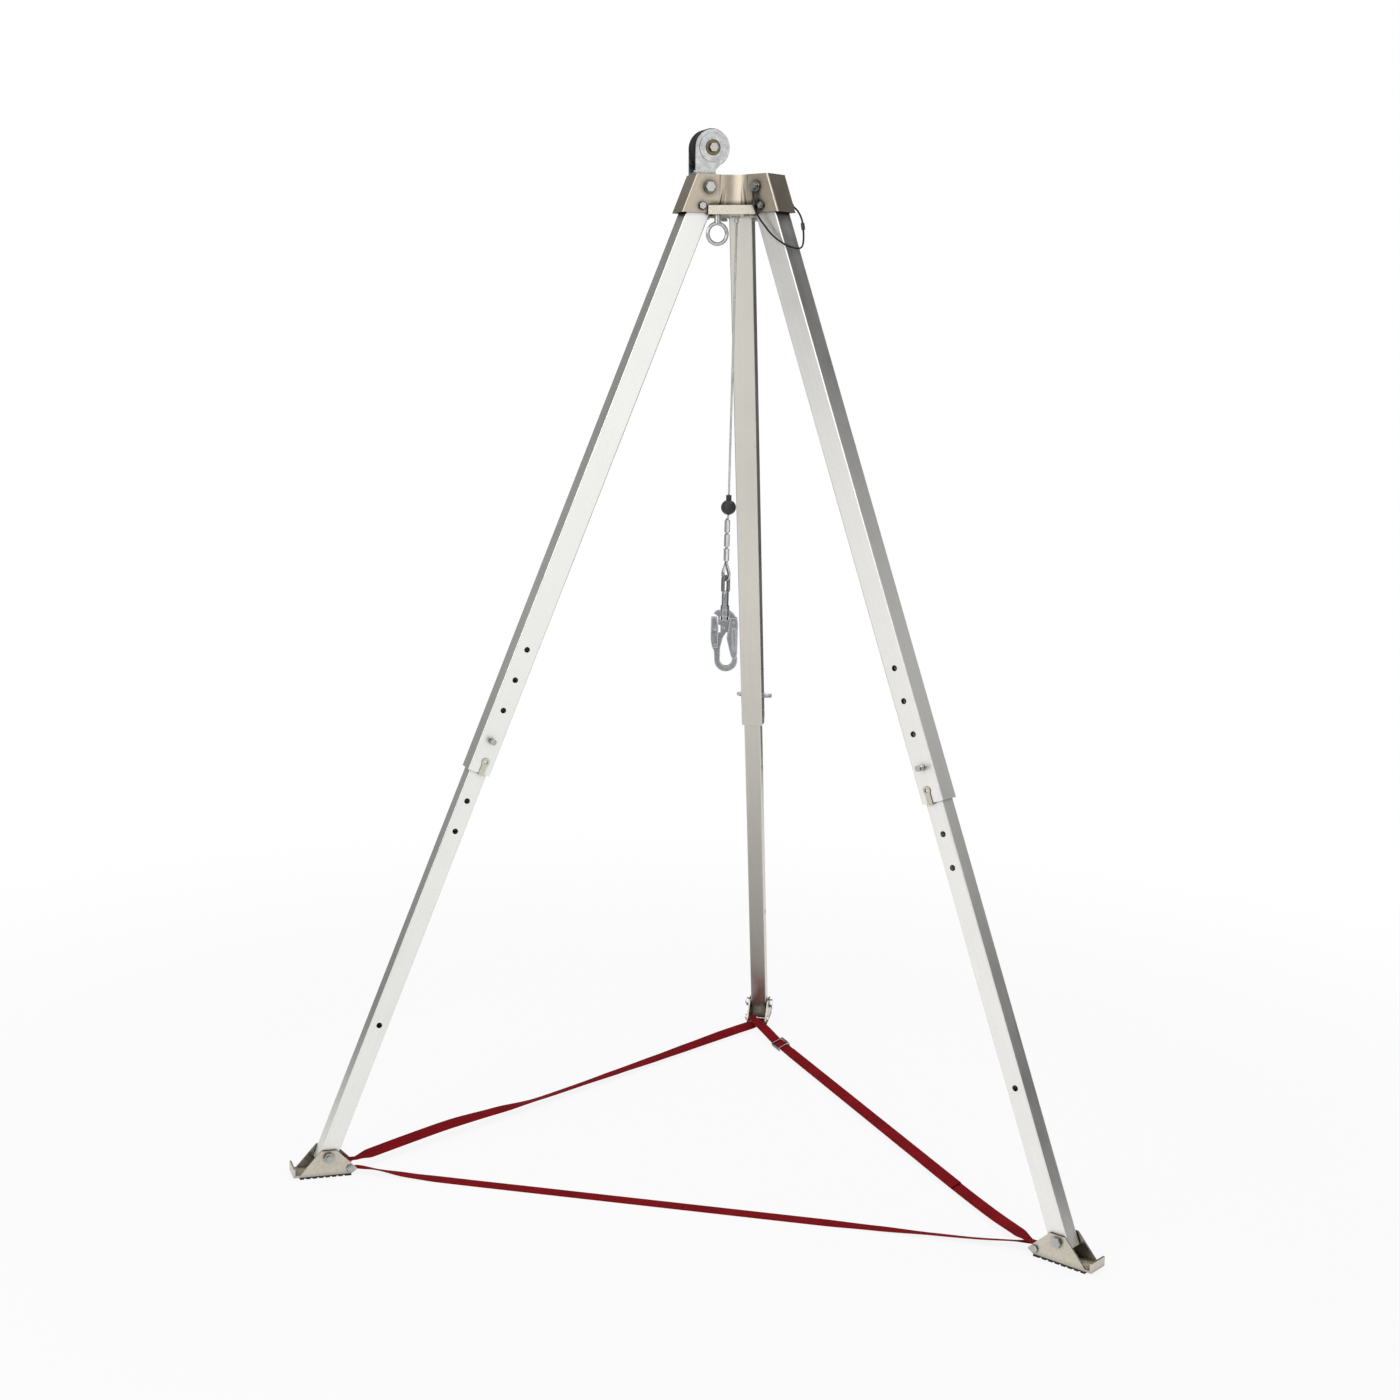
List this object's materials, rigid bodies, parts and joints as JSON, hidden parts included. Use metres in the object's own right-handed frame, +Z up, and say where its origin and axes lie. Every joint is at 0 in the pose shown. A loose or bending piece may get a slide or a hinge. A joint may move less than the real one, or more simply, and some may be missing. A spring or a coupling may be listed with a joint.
{
  "type": "rescue tripod",
  "caption": "Folding aluminium rescue tripod with telescopic square legs, a pulley head, an anchor eye, a lifting cable with a ball stop and snap hook, and red straps between its feet.",
  "frame": {"origin": "on the floor on the tripod's vertical axis, under the hanging hook", "axes": "+Z up, -Y toward the front strap, +X toward the right foot as seen from the front"},
  "size_m": [1.6964, 1.4692, 2.2533],
  "materials": {
    "head_metal": "satin bronze-grey",
    "tube_metal": "satin mill",
    "zinc_plate": "yellow-grey zinc plate",
    "bolt_steel": "bright plated",
    "hook_steel": "dull grey",
    "cable_steel": "twisted wire",
    "ball_grey": "satin grey",
    "brass_part": "plain",
    "black_plastic": "matt",
    "sole_rubber": "matt ribbed",
    "red_webbing": "woven"
  },
  "bodies": {
    "head": {"head_shell": "head_metal", "anchor_plate": "head_metal", "plate_bolts": "bolt_steel", "leg_pivot_bolts": "bolt_steel", "leg_pivot_nuts": "bolt_steel", "stop_bolts": "bolt_steel", "stop_nuts": "bolt_steel", "eye_bolt": "bolt_steel", "pulley_bracket": "bolt_steel", "pulley_screws": "bolt_steel", "pulley_axle": "bolt_steel", "pulley_axle_nut": "bolt_steel", "pulley_bushes": "brass_part", "cable_socket": "cable_steel", "socket_nut": "bolt_steel", "lift_cable": "cable_steel", "ball_stop": "ball_grey", "press_sleeves": "cable_steel", "thimble": "cable_steel", "swivel_eye": "hook_steel", "lanyard": "black_plastic", "tie_ferrule": "cable_steel", "tie_rivet": "bolt_steel", "front_strap": "red_webbing", "left_rear_strap": "red_webbing", "right_rear_strap": "red_webbing", "strap_buckle": "bolt_steel"},
    "sheave": {"sheave": "black_plastic"},
    "release": {"release_pin": "bolt_steel", "pin_ferrule": "cable_steel"},
    "hook": {"hook_body": "hook_steel", "hook_rivets": "bolt_steel"},
    "gate": {"hook_gate": "hook_steel"},
    "lever": {"hook_lever": "hook_steel"},
    "left_upper": {"left_upper_tube": "tube_metal", "left_pin_keeper": "zinc_plate"},
    "left_lower": {"left_lower_tube": "tube_metal"},
    "left_pin": {"left_lock_pin": "bolt_steel"},
    "left_foot": {"left_shoe": "zinc_plate", "left_sole": "sole_rubber", "left_foot_bolt": "bolt_steel", "left_strap_bolt": "bolt_steel"},
    "right_upper": {"right_upper_tube": "tube_metal", "right_pin_keeper": "zinc_plate"},
    "right_lower": {"right_lower_tube": "tube_metal"},
    "right_pin": {"right_lock_pin": "bolt_steel"},
    "right_foot": {"right_shoe": "zinc_plate", "right_sole": "sole_rubber", "right_foot_bolt": "bolt_steel", "right_strap_bolt": "bolt_steel"},
    "rear_upper": {"rear_upper_tube": "tube_metal", "rear_pin_keeper": "zinc_plate"},
    "rear_lower": {"rear_lower_tube": "tube_metal"},
    "rear_pin": {"rear_lock_pin": "bolt_steel"},
    "rear_foot": {"rear_shoe": "zinc_plate", "rear_sole": "sole_rubber", "rear_foot_bolt": "bolt_steel", "rear_strap_bolt": "bolt_steel"}
  },
  "joints": [
    {"name": "left_leg_fold", "type": "hinge", "parent": "head", "child": "left_upper", "pos_m": [-0.06582, -0.038, 2.12826], "axis": [0.5, -0.866, 0], "range_deg": [0, 20], "deforming": ["front_strap", "left_rear_strap"]},
    {"name": "left_leg_slide", "type": "slide", "parent": "left_upper", "child": "left_lower", "axis": [-0.3146, -0.1816, -0.9317], "range_m": [-0.21, 0.21], "deforming": ["front_strap", "left_rear_strap"]},
    {"name": "left_pin_pull", "type": "slide", "parent": "left_upper", "child": "left_pin", "axis": [0.5, -0.866, 0], "range_m": [0, 0.065]},
    {"name": "left_foot_tilt", "type": "hinge", "parent": "left_lower", "child": "left_foot", "pos_m": [-0.76923, -0.44411, 0.045], "axis": [0.5, -0.866, 0], "range_deg": [-25, 25], "deforming": ["front_strap", "left_rear_strap"]},
    {"name": "right_leg_fold", "type": "hinge", "parent": "head", "child": "right_upper", "pos_m": [0.06582, -0.038, 2.12826], "axis": [0.5, 0.866, 0], "range_deg": [0, 20], "deforming": ["front_strap", "right_rear_strap", "strap_buckle"]},
    {"name": "right_leg_slide", "type": "slide", "parent": "right_upper", "child": "right_lower", "axis": [0.3146, -0.1816, -0.9317], "range_m": [-0.21, 0.21], "deforming": ["front_strap", "right_rear_strap", "strap_buckle"]},
    {"name": "right_pin_pull", "type": "slide", "parent": "right_upper", "child": "right_pin", "axis": [-0.5, -0.866, 0], "range_m": [0, 0.065]},
    {"name": "right_foot_tilt", "type": "hinge", "parent": "right_lower", "child": "right_foot", "pos_m": [0.76923, -0.44411, 0.045], "axis": [0.5, 0.866, 0], "range_deg": [-25, 25], "deforming": ["front_strap", "right_rear_strap", "strap_buckle"]},
    {"name": "rear_leg_fold", "type": "hinge", "parent": "head", "child": "rear_upper", "pos_m": [0, 0.076, 2.12826], "axis": [-1, 0, 0], "range_deg": [0, 20], "deforming": ["left_rear_strap", "right_rear_strap", "strap_buckle"]},
    {"name": "rear_leg_slide", "type": "slide", "parent": "rear_upper", "child": "rear_lower", "axis": [0, 0.3633, -0.9317], "range_m": [-0.21, 0.21], "deforming": ["left_rear_strap", "right_rear_strap", "strap_buckle"]},
    {"name": "rear_pin_pull", "type": "slide", "parent": "rear_upper", "child": "rear_pin", "axis": [1, 0, 0], "range_m": [0, 0.065]},
    {"name": "rear_foot_tilt", "type": "hinge", "parent": "rear_lower", "child": "rear_foot", "pos_m": [0, 0.88823, 0.045], "axis": [-1, 0, 0], "range_deg": [-25, 25], "deforming": ["left_rear_strap", "right_rear_strap", "strap_buckle"]},
    {"name": "sheave_spin", "type": "hinge", "parent": "head", "child": "sheave", "pos_m": [-0.05759, -0.03325, 2.21226], "axis": [0.5, -0.866, 0], "continuous": true},
    {"name": "release_pull", "type": "slide", "parent": "head", "child": "release", "axis": [-0.5, -0.866, 0], "range_m": [0, 0.085], "deforming": ["lanyard"]},
    {"name": "hook_swivel", "type": "hinge", "parent": "head", "child": "hook", "pos_m": [0, 0, 1.21226], "axis": [0, 0, 1], "continuous": true},
    {"name": "gate_hinge", "type": "hinge", "parent": "hook", "child": "gate", "pos_m": [0.0198, 0.00278, 1.18626], "axis": [-0.1392, 0.9903, 0], "range_deg": [0, 15], "stiffness_Nm_per_rad": 0.3, "springref_deg": -20.05},
    {"name": "lever_hinge", "type": "hinge", "parent": "hook", "child": "lever", "pos_m": [-0.0198, -0.00278, 1.13526], "axis": [-0.1392, 0.9903, 0], "range_deg": [0, 6], "stiffness_Nm_per_rad": 0.5, "springref_deg": -11.46}
  ]
}
